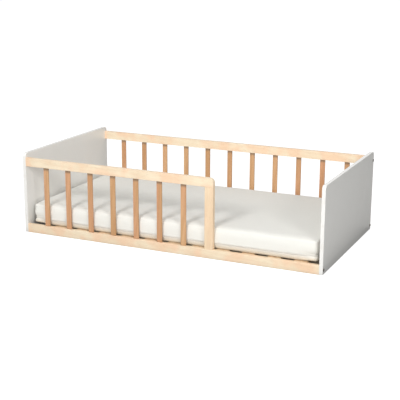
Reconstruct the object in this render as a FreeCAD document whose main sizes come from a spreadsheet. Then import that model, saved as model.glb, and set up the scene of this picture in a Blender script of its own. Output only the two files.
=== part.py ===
import FreeCAD, Part
import os
import re
import Sketcher

# Low toddler bed: two white end panels joined by wooden rails, a slatted guard along part of the
# front, a full row of slats at the back, a roll-out slatted base and a foam mattress.
# X runs along the bed (the guard starts at the -X panel), -Y is the side the child climbs in,
# +Z is up. The origin is the middle of the footprint on the floor. Millimetres.

sizes = {
    # mattress, which sets the size of the bed
    "mattress_length": 1400,
    "mattress_width": 700,
    "mattress_height": 100,
    "mattress_corner": 18,      # radius of the four upright corners
    "mattress_edge": 12,        # radius of the top and bottom edges
    "cover_thick": 3,
    "core_gap": 0.4,            # between the foam and its cover
    "zip_level": 29,            # middle of the zip above the mattress's underside
    "zip_height": 8,
    "zip_depth": 1.2,
    "zip_gap": 0.1,
    "end_gap": 15,              # mattress to end panel
    "side_gap": 5,              # mattress to side rail
    # end panels
    "bed_height": 380,
    "panel_thick": 16,
    "panel_corner": 20,
    "panel_ease": 1,
    # rails, all of one section
    "rail_height": 40,
    "rail_thick": 20,
    "rail_drop": 22,            # top of an upper rail below the top of the panels
    "wood_ease": 1.5,
    # guard at the front
    "guard_length": 950,
    "guard_corner": 20,
    "post_width": 40,
    "guard_slats": 7,
    # back
    "back_slats": 11,
    # upright slats and the mortises that hold them
    "slat_width": 25,
    "slat_thick": 9,
    "slat_round": 2.5,
    "tenon": 12,
    "mortise_spare": 1,
    "mortise_fit": 0.1,
    # connector bolts and barrel nuts
    "bolt_diameter": 6,
    "bolt_hole": 6.5,
    "bolt_head": 14,
    "head_rim": 1,
    "head_bevel": 1.5,
    "socket_width": 4,          # across the flats
    "socket_depth": 1.8,
    "bolt_past": 1,             # bolt tip past the far side of its nut
    "nut_setback": 28,          # nut's axis from the rail's end
    "nut_diameter": 10,
    "nut_fit": 0.1,
    "nut_cover": 4,             # wood left between the nut's hole and the rail's front face
    "nut_recess": 2,
    "nut_slot": 1.2,
    "thread_fit": 0.05,
    # dowels
    "dowel_diameter": 8,
    "dowel_fit": 0.1,
    "dowel_spare": 1,
    "dowel_taper": 1.5,
    "panel_bite": 10,           # dowel's length in a panel
    "rail_bite": 20,            # dowel's length in a rail's end
    "dowel_edge": 8,            # dowel's axis above the rail's lower edge
    "post_bite": 15,            # dowel's length in the post, and the same in the rail
    "post_dowel_pitch": 20,
    # battens that carry the base
    "batten_thick": 20,
    "batten_floor_gap": 4,
    "batten_end_gap": 10,
    "screw_diameter": 4,
    "screw_head": 8,
    "screw_head_height": 1.2,
    "screw_dome": 1,
    "screw_tip": 4,
    "screw_bite": 12,
    "screw_fit": 0.1,
    "screw_slot": 1.2,
    "screw_slot_length": 5,
    "screw_end": 60,            # first screw from the batten's end
    "batten_screws": 6,
    # roll-out base
    "base_slats": 11,
    "base_slat_width": 60,
    "base_slat_thick": 16,
    "base_slat_round": 3,
    "base_side_gap": 3,
    "base_left_gap": 132,       # the loose base lies nearer the entrance end
    "base_right_gap": 60,
    "rest_gap": 0.3,            # under the base and under the mattress
    "tape_width": 20,
    "tape_thick": 1,
    "tape_inset": 110,          # tape's middle from the base slats' ends
    "staple_width": 12,
    "staple_wire": 1.2,
    "staple_leg": 8,
    "staple_fit": 0.1,
}

# Places and lengths that follow from the sizes above.
derived = {
    "clear_length": "mattress_length + 2 * end_gap",
    "bed_width": "mattress_width + 2 * side_gap + 2 * rail_thick",
    "panel_x": "clear_length / 2 + panel_thick / 2",
    "rail_y": "bed_width / 2 - rail_thick / 2",
    "lower_mid": "rail_height / 2",
    "upper_mid": "bed_height - rail_drop - rail_height / 2",
    "rail_gap": "bed_height - rail_drop - 2 * rail_height",
    "back_pitch": "(clear_length + slat_width) / (back_slats + 1)",
    "guard_pitch": "(guard_length - post_width + slat_width) / (guard_slats + 1)",
    "guard_mid": "guard_length / 2 - clear_length / 2",
    "post_x": "guard_length - post_width / 2 - clear_length / 2",
    "mortise_width": "slat_width + 2 * mortise_fit",
    "mortise_thick": "slat_thick + 2 * mortise_fit",
    "bolt_reach": "nut_setback + nut_diameter / 2 + bolt_past",
    "nut_hole_depth": "rail_thick - nut_cover",
    "nut_length": "nut_hole_depth - nut_recess",
    "nut_x": "clear_length / 2 - nut_setback",
    "dowel_hole": "dowel_diameter + 2 * dowel_fit",
    "dowel_drop": "rail_height / 2 - dowel_edge",
    "base_top": "rail_height - rest_gap",
    "base_bottom": "base_top - base_slat_thick",
    "batten_top": "base_bottom - rest_gap",
    "batten_height": "batten_top - batten_floor_gap",
    "batten_mid": "batten_floor_gap + batten_height / 2",
    "batten_y": "bed_width / 2 - rail_thick - batten_thick / 2",
    "batten_length": "clear_length - 2 * batten_end_gap",
    "screw_first": "batten_length / 2 - screw_end",
    "screw_pitch": "2 * screw_first / (batten_screws - 1)",
    "screw_hole": "screw_diameter + 2 * screw_fit",
    "base_slat_length": "bed_width - 2 * rail_thick - 2 * base_side_gap",
    "base_length": "clear_length - base_left_gap - base_right_gap",
    "base_mid": "base_left_gap / 2 - base_right_gap / 2",
    "base_pitch": "(base_length - base_slat_width) / (base_slats - 1)",
    "base_first": "base_mid - base_length / 2 + base_slat_width / 2",
    "tape_y": "base_slat_length / 2 - tape_inset",
    "staple_hole": "staple_wire + 2 * staple_fit",
    "zip_foot": "zip_level - zip_height / 2",
}

doc = FreeCAD.newDocument("ToddlerBed")
pieces = []


def make_sheet():
    sheet = doc.addObject("Spreadsheet::Sheet", "Sizes")
    for row, (name, value) in enumerate(sizes.items(), start=1):
        sheet.set(f"A{row}", name)
        sheet.set(f"B{row}", str(value))
        sheet.setAlias(f"B{row}", name)
    doc.recompute()


def formula(text):
    """Writes a formula of plain names out in cells of the sheet."""
    def cell(match):
        word = match.group()
        if word in derived:
            return "(" + formula(derived[word]) + ")"
        return "Sizes." + word
    return re.sub(r"[a-z][a-z_]*", cell, text)


def bind(thing, target, text):
    thing.setExpression(target, formula(text))


def place(thing, x="0", y="0", z="0"):
    for axis, text in zip("xyz", (x, y, z)):
        bind(thing, f"Placement.Base.{axis}", text)


def keep(thing, name):
    """Makes a finished piece a node of the bed."""
    thing.Label = name
    pieces.append(thing)
    return thing


# Sketches and features. A sketch lies on one of its body's own planes, moved along the plane's
# normal by lift and within the plane by x and y.

def new_body(name, x="0", y="0", z="0"):
    body = doc.addObject("PartDesign::Body", name)
    place(body, x, y, z)
    return body


def new_sketch(body, role, lift="0", x="0", y="0"):
    plane = next(item for item in body.Origin.OriginFeatures if item.Role == role)
    sketch = body.newObject("Sketcher::SketchObject", body.Name + "_sketch")
    sketch.AttachmentSupport = [(plane, "")]
    sketch.MapMode = "FlatFace"
    for axis, text in zip("xyz", (x, y, lift)):
        bind(sketch, f"AttachmentOffset.Base.{axis}", text)
    return sketch


def constrain(sketch, kind, *where, size=None):
    index = sketch.addConstraint(Sketcher.Constraint(kind, *where))
    if size is not None:
        bind(sketch, f"Constraints[{index}]", size)


def draw_rectangle(sketch, width, height):
    corners = [FreeCAD.Vector(x, y, 0) for x, y in ((-20, -10), (20, -10), (20, 10), (-20, 10))]
    for start, end in zip(corners, corners[1:] + corners[:1]):
        sketch.addGeometry(Part.LineSegment(start, end), False)
    for side in range(4):
        constrain(sketch, "Coincident", side, 2, (side + 1) % 4, 1)
    for side, kind in enumerate(("Horizontal", "Vertical", "Horizontal", "Vertical")):
        constrain(sketch, kind, side)
    constrain(sketch, "Symmetric", 0, 1, 1, 2, -1, 1)
    constrain(sketch, "DistanceX", 0, 1, 0, 2, 40, size=width)
    constrain(sketch, "DistanceY", 1, 1, 1, 2, 20, size=height)


def draw_round_rectangle(sketch, width, height, corner):
    """Four sides, then an arc from each side's end to the next side's start."""
    side_ends = [(-14, -10, 14, -10), (20, -4, 20, 4), (14, 10, -14, 10), (-20, 4, -20, -4)]
    arc_centres = [(14, -4), (14, 4), (-14, 4), (-14, -4)]
    quarter = 1.5707963267948966
    up = FreeCAD.Vector(0, 0, 1)
    for x0, y0, x1, y1 in side_ends:
        line = Part.LineSegment(FreeCAD.Vector(x0, y0, 0), FreeCAD.Vector(x1, y1, 0))
        sketch.addGeometry(line, False)
    for turn, (x, y) in enumerate(arc_centres):
        circle = Part.Circle(FreeCAD.Vector(x, y, 0), up, 6)
        arc = Part.ArcOfCircle(circle, (turn - 1) * quarter, turn * quarter)
        sketch.addGeometry(arc, False)
    for side in range(4):
        constrain(sketch, "Tangent", side, 2, side + 4, 1)
        constrain(sketch, "Tangent", side + 4, 2, (side + 1) % 4, 1)
    for side, kind in enumerate(("Horizontal", "Vertical", "Horizontal", "Vertical")):
        constrain(sketch, kind, side)
    for arc in (5, 6, 7):
        constrain(sketch, "Equal", 4, arc)
    constrain(sketch, "Symmetric", 4, 3, 6, 3, -1, 1)
    constrain(sketch, "Radius", 4, 6, size=corner)
    constrain(sketch, "DistanceX", 3, 1, 1, 1, 40, size=width)
    constrain(sketch, "DistanceY", 0, 1, 2, 1, 20, size=height)


def draw_circles(sketch, diameter, centres):
    for x, y in centres:
        circle = Part.Circle(FreeCAD.Vector(5, 5, 0), FreeCAD.Vector(0, 0, 1), 3)
        index = sketch.addGeometry(circle, False)
        constrain(sketch, "Diameter", index, 6, size=diameter)
        constrain(sketch, "DistanceX", -1, 1, index, 3, 5, size=x)
        constrain(sketch, "DistanceY", -1, 1, index, 3, 5, size=y)


def pad(body, sketch, length, both_ways=True):
    feature = body.newObject("PartDesign::Pad", body.Name + "_pad")
    feature.Profile = sketch
    feature.SideType = "Symmetric" if both_ways else "One side"
    bind(feature, "Length", length)
    return feature


def pocket(body, sketch, depth, along_normal=False):
    """Cuts against the sketch's normal, or along it."""
    feature = body.newObject("PartDesign::Pocket", body.Name + "_pocket")
    feature.Profile = sketch
    feature.Reversed = along_normal
    bind(feature, "Length", depth)
    return feature


def repeat(body, feature, count, pitch):
    """Repeats a pocket towards +X."""
    row = body.newObject("PartDesign::LinearPattern", body.Name + "_row")
    row.Originals = [feature]
    row.Direction = (feature.Profile[0], ["H_Axis"])
    bind(row, "Occurrences", count)
    bind(row, "Length", f"{pitch} * ({count} - 1)")
    body.Tip = row
    return row


def round_edges(body, radius, chosen):
    """Fillets the edges of the body so far that pass a test on their two end points."""
    doc.recompute()
    base = body.Tip
    names = []
    for number, edge in enumerate(base.Shape.Edges, start=1):
        first, last = edge.Vertexes[0].Point, edge.Vertexes[-1].Point
        if chosen(first, last):
            names.append(f"Edge{number}")
    feature = body.newObject("PartDesign::Fillet", body.Name + "_round")
    feature.Base = (base, names)
    bind(feature, "Radius", radius)
    return feature


def runs_along(axis):
    def test(first, last):
        span = last - first
        return abs(getattr(span, axis)) > 0.99 * span.Length
    return test


# End panels

def make_panel(name, side, joints):
    """side is -1 or 1; joints lists the (y, z) of each rail's middle."""
    body = new_body(name, f"{side} * panel_x", "0", "bed_height / 2")
    outline = new_sketch(body, "YZ_Plane")
    draw_rectangle(outline, "bed_width", "bed_height")
    pad(body, outline, "panel_thick")
    along_x = runs_along("x")
    round_edges(body, "panel_corner", lambda first, last: along_x(first, last) and first.z > 0)
    half = sizes["panel_thick"] / 2
    round_edges(body, "panel_ease",
                lambda first, last: abs(first.x - last.x) < 0.01 and abs(abs(first.x) - half) < 0.01)
    bolts = new_sketch(body, "YZ_Plane", "panel_thick / 2")
    draw_circles(bolts, "bolt_hole", [(y, f"{z} - bed_height / 2") for y, z in joints])
    pocket(body, bolts, "panel_thick")
    dowels = new_sketch(body, "YZ_Plane", f"-{side} * panel_thick / 2")
    draw_circles(dowels, "dowel_hole",
                 [(y, f"{z} - dowel_drop - bed_height / 2") for y, z in joints])
    pocket(body, dowels, "panel_bite + dowel_spare", along_normal=side > 0)
    return keep(body, name)


# Rails. inward is the direction in Y of a rail's inner face.

def bore_rail_ends(body, half_length, ends):
    # the barrel nuts go in from the back face of every rail
    for end in ends:
        bolt = new_sketch(body, "YZ_Plane", f"{end} * {half_length}")
        draw_circles(bolt, "bolt_hole", [("0", "0")])
        pocket(body, bolt, "bolt_reach + 2", along_normal=end < 0)
        dowel = new_sketch(body, "YZ_Plane", f"{end} * {half_length}")
        draw_circles(dowel, "dowel_hole", [("0", "-dowel_drop")])
        pocket(body, dowel, "rail_bite + dowel_spare", along_normal=end < 0)
    nuts = new_sketch(body, "XZ_Plane", "-rail_thick / 2")
    draw_circles(nuts, "nut_diameter + 2 * nut_fit",
                 [(f"{end} * ({half_length} - nut_setback)", "0") for end in ends])
    pocket(body, nuts, "nut_hole_depth", along_normal=True)


def cut_mortises(body, face, first_x, count, pitch):
    """face is 1 for mortises in the rail's top and -1 for its underside."""
    sketch = new_sketch(body, "XY_Plane", f"{face} * rail_height / 2", x=first_x)
    draw_round_rectangle(sketch, "mortise_width", "mortise_thick", "slat_round + mortise_fit")
    first = pocket(body, sketch, "tenon + mortise_spare", along_normal=face < 0)
    repeat(body, first, count, pitch)


def drill_post_dowels(body, face, post_middle):
    sketch = new_sketch(body, "XY_Plane", f"{face} * rail_height / 2", x=post_middle)
    draw_circles(sketch, "dowel_hole", [("-post_dowel_pitch / 2", "0"), ("post_dowel_pitch / 2", "0")])
    pocket(body, sketch, "post_bite + dowel_spare", along_normal=face < 0)


def drill_batten_screws(body, inward):
    sketch = new_sketch(body, "XZ_Plane", f"-{inward} * rail_thick / 2", x="-screw_first",
                        y="batten_mid - lower_mid")
    draw_circles(sketch, "screw_hole", [("0", "0")])
    first = pocket(body, sketch, "screw_bite + screw_tip", along_normal=inward > 0)
    repeat(body, first, "batten_screws", "screw_pitch")


def make_long_rail(name, inward, level):
    body = new_body(name, "0", f"-{inward} * rail_y", level)
    section = new_sketch(body, "YZ_Plane")
    draw_rectangle(section, "rail_thick", "rail_height")
    pad(body, section, "clear_length")
    round_edges(body, "wood_ease", runs_along("x"))
    bore_rail_ends(body, "clear_length / 2", (-1, 1))
    return body


def make_back_rails():
    first_x = "back_pitch - slat_width / 2 - clear_length / 2"
    top = make_long_rail("back_top_rail", -1, "upper_mid")
    cut_mortises(top, -1, first_x, "back_slats", "back_pitch")
    keep(top, "back_top_rail")
    bottom = make_long_rail("back_bottom_rail", -1, "lower_mid")
    cut_mortises(bottom, 1, first_x, "back_slats", "back_pitch")
    drill_batten_screws(bottom, -1)
    keep(bottom, "back_bottom_rail")


def make_front_bottom_rail():
    body = make_long_rail("front_bottom_rail", 1, "lower_mid")
    cut_mortises(body, 1, "guard_pitch - slat_width / 2 - clear_length / 2", "guard_slats", "guard_pitch")
    drill_post_dowels(body, 1, "post_x")
    drill_batten_screws(body, 1)
    keep(body, "front_bottom_rail")


def make_guard_top_rail():
    body = new_body("guard_top_rail", "guard_mid", "-rail_y", "upper_mid")
    outline = new_sketch(body, "XZ_Plane")
    draw_rectangle(outline, "guard_length", "rail_height")
    pad(body, outline, "rail_thick")
    along_y = runs_along("y")
    round_edges(body, "guard_corner",
                lambda first, last: along_y(first, last) and first.x > 0 and first.z > 0)
    left_end = -sizes["guard_length"] / 2 + 1
    round_edges(body, "wood_ease",
                lambda first, last: abs(first.y - last.y) < 0.01 and max(first.x, last.x) > left_end)
    bore_rail_ends(body, "guard_length / 2", (-1,))
    cut_mortises(body, -1, "guard_pitch - slat_width / 2 - guard_length / 2", "guard_slats", "guard_pitch")
    drill_post_dowels(body, -1, "post_x - guard_mid")
    keep(body, "guard_top_rail")


def make_guard_post():
    body = new_body("guard_post", "post_x", "-rail_y", "rail_height")
    section = new_sketch(body, "XY_Plane")
    draw_rectangle(section, "post_width", "rail_thick")
    pad(body, section, "rail_gap", both_ways=False)
    round_edges(body, "wood_ease", runs_along("z"))
    centres = [("-post_dowel_pitch / 2", "0"), ("post_dowel_pitch / 2", "0")]
    for lift, from_below in (("0", True), ("rail_gap", False)):
        sketch = new_sketch(body, "XY_Plane", lift)
        draw_circles(sketch, "dowel_hole", centres)
        pocket(body, sketch, "post_bite + dowel_spare", along_normal=from_below)
    keep(body, "guard_post")


def make_slats(name, count, pitch, y):
    for number in range(1, count + 1):
        body = new_body(f"{name}_{number}", f"{number} * {pitch} - slat_width / 2 - clear_length / 2", y,
                        "rail_height - tenon")
        section = new_sketch(body, "XY_Plane")
        draw_round_rectangle(section, "slat_width", "slat_thick", "slat_round")
        pad(body, section, "rail_gap + 2 * tenon", both_ways=False)
        keep(body, f"{name}_{number}")


# Battens and the roll-out base

def make_batten(name, inward):
    body = new_body(name, "0", f"-{inward} * batten_y", "batten_mid")
    section = new_sketch(body, "YZ_Plane")
    draw_rectangle(section, "batten_thick", "batten_height")
    pad(body, section, "batten_length")
    round_edges(body, "wood_ease", runs_along("x"))
    sketch = new_sketch(body, "XZ_Plane", f"-{inward} * batten_thick / 2", x="-screw_first")
    draw_circles(sketch, "screw_hole", [("0", "0")])
    first = pocket(body, sketch, "batten_thick", along_normal=inward > 0)
    repeat(body, first, "batten_screws", "screw_pitch")
    keep(body, name)


def make_base_slats():
    legs = [(f"{end} * staple_width / 2", f"{side} * tape_y") for end in (-1, 1) for side in (-1, 1)]
    for number in range(1, sizes["base_slats"] + 1):
        body = new_body(f"base_slat_{number}", f"base_first + {number - 1} * base_pitch", "0",
                        "base_bottom + base_slat_thick / 2")
        section = new_sketch(body, "XZ_Plane")
        draw_round_rectangle(section, "base_slat_width", "base_slat_thick", "base_slat_round")
        pad(body, section, "base_slat_length")
        sketch = new_sketch(body, "XY_Plane", "-base_slat_thick / 2")
        draw_circles(sketch, "staple_hole", legs)
        pocket(body, sketch, "staple_leg", along_normal=True)
        keep(body, f"base_slat_{number}")


def make_tape(name, side):
    body = new_body(name, "base_mid", f"{side} * tape_y", "base_bottom - tape_thick / 2")
    outline = new_sketch(body, "XY_Plane")
    draw_rectangle(outline, "base_length", "tape_width")
    pad(body, outline, "tape_thick")
    sketch = new_sketch(body, "XY_Plane", "tape_thick / 2", x="base_first - base_mid")
    draw_circles(sketch, "staple_hole", [("-staple_width / 2", "0"), ("staple_width / 2", "0")])
    first = pocket(body, sketch, "tape_thick")
    repeat(body, first, "base_slats", "base_pitch")
    keep(body, name)


# Fasteners. A turned piece is a stack of round layers along its own Z, each given by its lower
# and upper diameter and its length.

def round_layer(name, lower, upper, length):
    if lower == upper:
        layer = doc.addObject("Part::Cylinder", name)
        bind(layer, "Radius", f"({lower}) / 2")
    else:
        layer = doc.addObject("Part::Cone", name)
        bind(layer, "Radius1", f"({lower}) / 2")
        bind(layer, "Radius2", f"({upper}) / 2")
    bind(layer, "Height", length)
    return layer


def turned(name, layers):
    parts = []
    below = "0"
    for lower, upper, length in layers:
        layer = round_layer(name + "_layer", lower, upper, length)
        place(layer, z=below)
        below = f"{below} + {length}"
        parts.append(layer)
    stack = doc.addObject("Part::MultiFuse", name + "_stack")
    stack.Shapes = parts
    stack.Refine = True
    return stack


def centred_box(name, length, width, height, z):
    box = doc.addObject("Part::Box", name)
    bind(box, "Length", length)
    bind(box, "Width", width)
    bind(box, "Height", height)
    place(box, f"-({length}) / 2", f"-({width}) / 2", z)
    return box


def cut(name, base, tool):
    result = doc.addObject("Part::Cut", name)
    result.Base = base
    result.Tool = tool
    return result


def turn(thing, axis, degrees):
    thing.Placement = FreeCAD.Placement(FreeCAD.Vector(), FreeCAD.Rotation(axis, degrees))


def group(name, members):
    """One node of separate, identical pieces."""
    compound = doc.addObject("Part::Compound", name)
    compound.Links = members
    keep(compound, name)


x_axis = FreeCAD.Vector(1, 0, 0)
y_axis = FreeCAD.Vector(0, 1, 0)


def make_bolt(side, y, z):
    """Head outwards; its underside lies on the panel's outer face."""
    shank = "panel_thick + bolt_reach"
    body = turned("bolt", [
        ("bolt_diameter", "bolt_diameter", shank),
        ("bolt_head", "bolt_head", "head_rim"),
        ("bolt_head", "bolt_head - 2 * head_bevel", "head_bevel"),
    ])
    socket = doc.addObject("Part::Prism", "bolt_socket")
    socket.Polygon = 6
    bind(socket, "Circumradius", "socket_width / 3 ^ 0.5")
    bind(socket, "Height", "socket_depth")
    place(socket, z=f"{shank} + head_rim + head_bevel - socket_depth")
    bolt = cut("bolt", body, socket)
    turn(bolt, y_axis, side * 90)
    place(bolt, f"{side} * (clear_length / 2 - bolt_reach)", y, z)
    return bolt


def make_nut(side, y, z):
    """Barrel nut across the rail, its slotted end towards the rail's back face."""
    barrel = round_layer("nut_barrel", "nut_diameter", "nut_diameter", "nut_length")
    bore = "bolt_diameter + 2 * thread_fit"
    thread = round_layer("nut_thread", bore, bore, "2 * nut_diameter")
    turn(thread, y_axis, 90)
    place(thread, "-nut_diameter", "0", "rail_thick / 2 - nut_cover")
    slot = centred_box("nut_slot", "2 * nut_diameter", "nut_slot", "nut_slot", "nut_length - nut_slot")
    nut = cut("nut", cut("nut_bored", barrel, thread), slot)
    turn(nut, x_axis, -90)
    place(nut, f"{side} * nut_x", f"{y} - rail_thick / 2 + nut_cover", z)
    return nut


def make_dowel(length):
    tip = "dowel_diameter - 2 * dowel_taper"
    return turned("dowel", [
        (tip, "dowel_diameter", "dowel_taper"),
        ("dowel_diameter", "dowel_diameter", f"{length} - 2 * dowel_taper"),
        ("dowel_diameter", tip, "dowel_taper"),
    ])


def make_rail_dowel(side, y, z):
    dowel = make_dowel("panel_bite + rail_bite")
    turn(dowel, y_axis, side * 90)
    place(dowel, f"{side} * (clear_length / 2 - rail_bite)", y, f"{z} - dowel_drop")
    return dowel


def make_post_dowels():
    dowels = []
    for z in ("rail_height", "rail_height + rail_gap"):
        for side in (-1, 1):
            dowel = make_dowel("2 * post_bite")
            place(dowel, f"post_x + {side} * post_dowel_pitch / 2", "-rail_y", f"{z} - post_bite")
            dowels.append(dowel)
    group("post_dowels", dowels)


def make_screws(name, inward):
    """Pan-head screws through the batten into the rail."""
    screws = []
    for number in range(sizes["batten_screws"]):
        body = turned("screw", [
            ("screw_diameter / 4", "screw_diameter", "screw_tip"),
            ("screw_diameter", "screw_diameter", "screw_bite - screw_tip + batten_thick"),
            ("screw_head", "screw_head", "screw_head_height"),
            ("screw_head", "screw_head - 2 * screw_dome", "screw_dome"),
        ])
        floor = "screw_bite + batten_thick + screw_head_height"
        one = centred_box("screw_slot", "screw_slot_length", "screw_slot", "screw_dome", floor)
        other = centred_box("screw_slot", "screw_slot", "screw_slot_length", "screw_dome", floor)
        screw = cut("screw", cut("screw_part", body, one), other)
        turn(screw, x_axis, -90 * inward)
        place(screw, f"{number} * screw_pitch - screw_first",
              f"-{inward} * (bed_width / 2 - rail_thick + screw_bite)", "batten_mid")
        screws.append(screw)
    group(name, screws)


def make_staple(x, y):
    """Crown under the tape, two legs up into the slat."""
    crown = centred_box("staple_crown", "staple_width + staple_wire", "staple_wire", "staple_wire",
                        "-staple_wire")
    legs = []
    for end in (-1, 1):
        leg = round_layer("staple_leg", "staple_wire", "staple_wire", "staple_leg")
        place(leg, f"{end} * staple_width / 2")
        legs.append(leg)
    staple = doc.addObject("Part::MultiFuse", "staple")
    staple.Shapes = [crown] + legs
    place(staple, x, y, "base_bottom - tape_thick")
    return staple


def make_fasteners():
    front_bottom = ("-rail_y", "lower_mid")
    guard_top = ("-rail_y", "upper_mid")
    back_bottom = ("rail_y", "lower_mid")
    back_top = ("rail_y", "upper_mid")
    left_joints = [front_bottom, guard_top, back_bottom, back_top]
    right_joints = [front_bottom, back_bottom, back_top]
    for word, side, joints in (("left", -1, left_joints), ("right", 1, right_joints)):
        make_panel(f"{word}_panel", side, joints)
        group(f"{word}_connector_bolts", [make_bolt(side, y, z) for y, z in joints])
        group(f"{word}_barrel_nuts", [make_nut(side, y, z) for y, z in joints])
        group(f"{word}_rail_dowels", [make_rail_dowel(side, y, z) for y, z in joints])
    make_post_dowels()
    make_screws("front_batten_screws", 1)
    make_screws("back_batten_screws", -1)
    group("tape_staples", [
        make_staple(f"base_first + {number} * base_pitch", f"{side} * tape_y")
        for number in range(sizes["base_slats"]) for side in (-1, 1)
    ])


# Mattress: a foam core in a cover with a zip round it

def make_block(name, inset, foot, height):
    """Upright block of the mattress's outline, drawn in by inset."""
    body = new_body(name, z=f"rail_height + {foot}")
    outline = new_sketch(body, "XY_Plane")
    draw_rectangle(outline, f"mattress_length - 2 * ({inset})", f"mattress_width - 2 * ({inset})")
    pad(body, outline, height, both_ways=False)
    round_edges(body, f"mattress_corner - ({inset})", runs_along("z"))
    return body


def make_cushion(name, inset):
    body = make_block(name, inset, inset, f"mattress_height - 2 * ({inset})")
    round_edges(body, f"mattress_edge - ({inset})", lambda first, last: abs(first.z - last.z) < 0.01)
    return body


def make_mattress():
    keep(make_cushion("mattress_core", "cover_thick + core_gap"), "mattress_core")
    shell = cut("cover_shell", make_cushion("cover_outside", "0"), make_cushion("cover_inside", "cover_thick"))
    groove_foot = "zip_foot - zip_gap"
    groove_height = "zip_height + 2 * zip_gap"
    groove = cut("zip_groove", make_block("groove_outside", "-side_gap / 2", groove_foot, groove_height),
                 make_block("groove_inside", "zip_depth + zip_gap", groove_foot, groove_height))
    keep(cut("mattress_cover", shell, groove), "mattress_cover")
    band = cut("cover_zip", make_block("zip_outside", "0", "zip_foot", "zip_height"),
               make_block("zip_inside", "zip_depth", "zip_foot", "zip_height"))
    keep(band, "cover_zip")


def check_features():
    """Stops on a failed feature, a cut that removed nothing or a piece with a bad shape."""
    for thing in doc.Objects:
        if "Invalid" in thing.State or "Error" in thing.State:
            raise RuntimeError(f"{thing.Name} failed: {thing.State}")
        if thing.TypeId in ("PartDesign::Pocket", "PartDesign::LinearPattern"):
            if thing.Shape.Volume > thing.BaseFeature.Shape.Volume - 1:
                raise RuntimeError(f"{thing.Name} removed nothing")
    for piece in pieces:
        if piece.Shape.isNull() or not piece.Shape.isValid():
            raise RuntimeError(f"{piece.Label} has a bad shape")


def write_parts():
    os.makedirs("parts", exist_ok=True)
    for piece in pieces:
        piece.Shape.exportStep(f"parts/{piece.Label}.step")
        box = piece.Shape.BoundBox
        print(f"{piece.Label}: {len(piece.Shape.Solids)} solid(s), "
              f"{box.XLength:.1f} x {box.YLength:.1f} x {box.ZLength:.1f}")


make_sheet()
make_back_rails()
make_front_bottom_rail()
make_guard_top_rail()
make_guard_post()
make_slats("guard_slat", sizes["guard_slats"], "guard_pitch", "-rail_y")
make_slats("back_slat", sizes["back_slats"], "back_pitch", "rail_y")
make_batten("front_batten", 1)
make_batten("back_batten", -1)
make_base_slats()
make_tape("front_tape", -1)
make_tape("back_tape", 1)
make_fasteners()
make_mattress()
doc.recompute()
check_features()
write_parts()
print(len(pieces), "nodes")
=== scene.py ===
import math

import bmesh
import bpy
import numpy as np
from mathutils import Matrix, Vector, noise


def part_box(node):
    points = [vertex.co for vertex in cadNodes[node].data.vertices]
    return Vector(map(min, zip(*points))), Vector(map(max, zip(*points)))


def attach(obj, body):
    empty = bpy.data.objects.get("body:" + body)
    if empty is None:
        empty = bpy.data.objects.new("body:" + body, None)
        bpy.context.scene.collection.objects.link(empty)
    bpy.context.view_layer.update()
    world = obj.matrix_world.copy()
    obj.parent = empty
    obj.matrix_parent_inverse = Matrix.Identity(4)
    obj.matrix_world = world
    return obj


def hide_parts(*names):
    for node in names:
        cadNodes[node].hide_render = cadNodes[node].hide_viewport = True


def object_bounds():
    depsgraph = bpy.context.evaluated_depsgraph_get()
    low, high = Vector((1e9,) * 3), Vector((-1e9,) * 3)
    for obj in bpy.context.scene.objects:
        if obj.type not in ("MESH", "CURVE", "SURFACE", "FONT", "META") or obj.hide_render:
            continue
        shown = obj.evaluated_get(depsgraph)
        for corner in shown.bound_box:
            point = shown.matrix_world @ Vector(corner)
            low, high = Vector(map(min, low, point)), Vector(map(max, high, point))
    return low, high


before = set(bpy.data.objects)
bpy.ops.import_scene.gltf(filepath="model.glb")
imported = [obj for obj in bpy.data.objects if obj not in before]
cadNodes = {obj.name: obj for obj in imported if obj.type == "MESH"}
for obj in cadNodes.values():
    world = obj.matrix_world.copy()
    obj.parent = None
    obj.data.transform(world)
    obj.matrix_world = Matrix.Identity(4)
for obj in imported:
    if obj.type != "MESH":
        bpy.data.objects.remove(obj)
cadBox = [list(corner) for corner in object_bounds()]
print("frame loaded:", len(cadNodes), "nodes")


# small tools for the node trees

def addNode(tree, kind, settings=None, **inputs):
    node = tree.nodes.new(kind)
    for name, value in (settings or {}).items():
        setattr(node, name, value)
    for name, value in inputs.items():
        feed(tree, node.inputs[name.replace("_", " ")], value)
    return node


def feed(tree, socket, value):
    if isinstance(value, bpy.types.NodeSocket):
        tree.links.new(value, socket)
    else:
        socket.default_value = value


def calc(tree, operation, first, second=None, third=None):
    node = tree.nodes.new("ShaderNodeMath")
    node.operation = operation
    for socket, value in zip(node.inputs, (first, second, third)):
        if value is not None:
            feed(tree, socket, value)
    return node.outputs[0]


def calcVector(tree, operation, first, second=None):
    node = tree.nodes.new("ShaderNodeVectorMath")
    node.operation = operation
    feed(tree, node.inputs[0], first)
    if second is not None:
        feed(tree, node.inputs[1], second)
    return node.outputs[0]


def axesOf(tree, vector):
    return addNode(tree, "ShaderNodeSeparateXYZ", Vector=vector).outputs


def awayFrom(tree, value, level):
    return calc(tree, "ABSOLUTE", calc(tree, "SUBTRACT", value, level))


def stretch(tree, vector, scale, shift=(0, 0, 0)):
    node = addNode(tree, "ShaderNodeMapping", Vector=vector, Scale=scale, Location=shift)
    return node.outputs["Vector"]


def speckle(tree, vector, scale, detail=2.0, roughness=0.5):
    node = addNode(tree, "ShaderNodeTexNoise", Vector=vector, Scale=scale, Detail=detail,
                   Roughness=roughness)
    return node.outputs["Fac"]


def band(tree, value, low, high, start=0.0, stop=1.0):
    node = tree.nodes.new("ShaderNodeMapRange")
    node.interpolation_type = "SMOOTHSTEP"
    limits = {"From Min": low, "From Max": high, "To Min": start, "To Max": stop}
    for name, number in limits.items():
        node.inputs[name].default_value = number
    tree.links.new(value, node.inputs["Value"])
    return node.outputs["Result"]


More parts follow.
